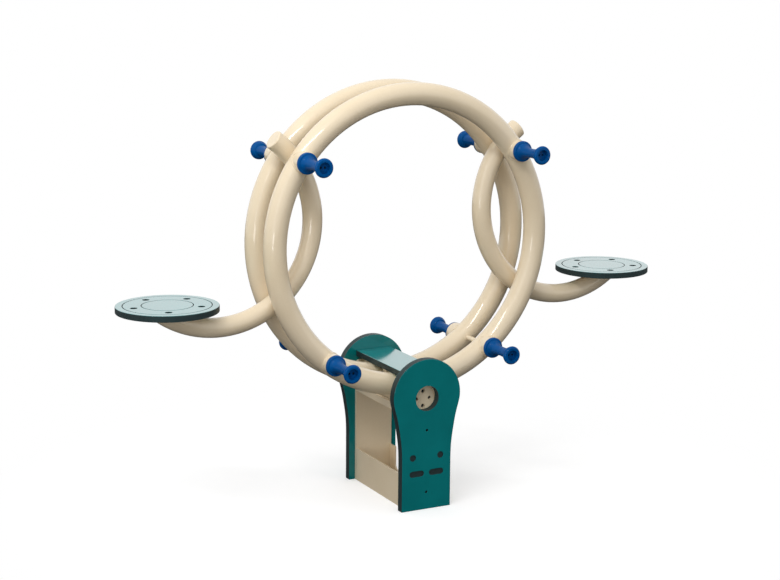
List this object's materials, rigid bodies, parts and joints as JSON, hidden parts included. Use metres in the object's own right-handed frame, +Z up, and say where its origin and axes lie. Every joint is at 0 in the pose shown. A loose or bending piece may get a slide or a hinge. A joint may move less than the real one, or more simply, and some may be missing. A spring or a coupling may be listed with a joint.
{
  "type": "seesaw",
  "caption": "Two-seat playground seesaw: twin upright hoops on a low sprung pivot between two shaped side panels, with a bent tube arm and a round seat at each end.",
  "frame": {"origin": "middle of the pedestal's foot at ground level", "axes": "+Z up, +X from the middle towards the seat on the side with the notched cross plate, +Y along the pivot towards the rear panel"},
  "size_m": [1.8288, 0.486, 1.309],
  "materials": {
    "teal_sheet": "textured two-colour sheet, teal skin over a black core",
    "cream_paint": "cream powder coat",
    "blue_grip": "moulded satin",
    "black_rubber": "moulded rubber",
    "black_nylon": "turned nylon",
    "dark_bolts": "blackened steel"
  },
  "bodies": {
    "base": {"base_plate": "cream_paint", "front_pivot_disc": "cream_paint", "front_side_panel": "teal_sheet", "front_side_plate": "cream_paint", "front_thrust_washer": "black_nylon", "left_cross_plate": "cream_paint", "left_upper_cross_plate": "cream_paint", "panel_bolts": "dark_bolts", "pivot_core": "cream_paint", "pivot_screws": "dark_bolts", "rear_pivot_disc": "cream_paint", "rear_side_panel": "teal_sheet", "rear_side_plate": "cream_paint", "rear_thrust_washer": "black_nylon", "right_cross_plate": "cream_paint", "right_upper_cross_plate": "cream_paint"},
    "rocker": {"arm_pins": "cream_paint", "arm_spacers": "cream_paint", "board_bars": "cream_paint", "board_screws": "dark_bolts", "cross_rods": "cream_paint", "front_grip_bosses": "cream_paint", "front_lower_left_grip": "blue_grip", "front_lower_right_grip": "blue_grip", "front_ring": "cream_paint", "front_torsion_bush": "black_rubber", "front_upper_left_grip": "blue_grip", "front_upper_right_grip": "blue_grip", "grip_screws": "dark_bolts", "hub_tube": "cream_paint", "left_arm": "cream_paint", "left_arm_cap": "cream_paint", "left_seat": "teal_sheet", "left_seat_bolts": "dark_bolts", "left_seat_plate": "cream_paint", "rear_grip_bosses": "cream_paint", "rear_lower_left_grip": "blue_grip", "rear_lower_right_grip": "blue_grip", "rear_ring": "cream_paint", "rear_torsion_bush": "black_rubber", "rear_upper_left_grip": "blue_grip", "rear_upper_right_grip": "blue_grip", "right_arm": "cream_paint", "right_arm_cap": "cream_paint", "right_seat": "teal_sheet", "right_seat_bolts": "dark_bolts", "right_seat_plate": "cream_paint", "top_board": "teal_sheet"}
  },
  "joints": [
    {"name": "rock", "type": "hinge", "parent": "base", "child": "rocker", "pos_m": [0, 0, 0.3475], "axis": [0, 1, 0], "range_deg": [-10, 10], "stiffness_Nm_per_rad": 900}
  ]
}
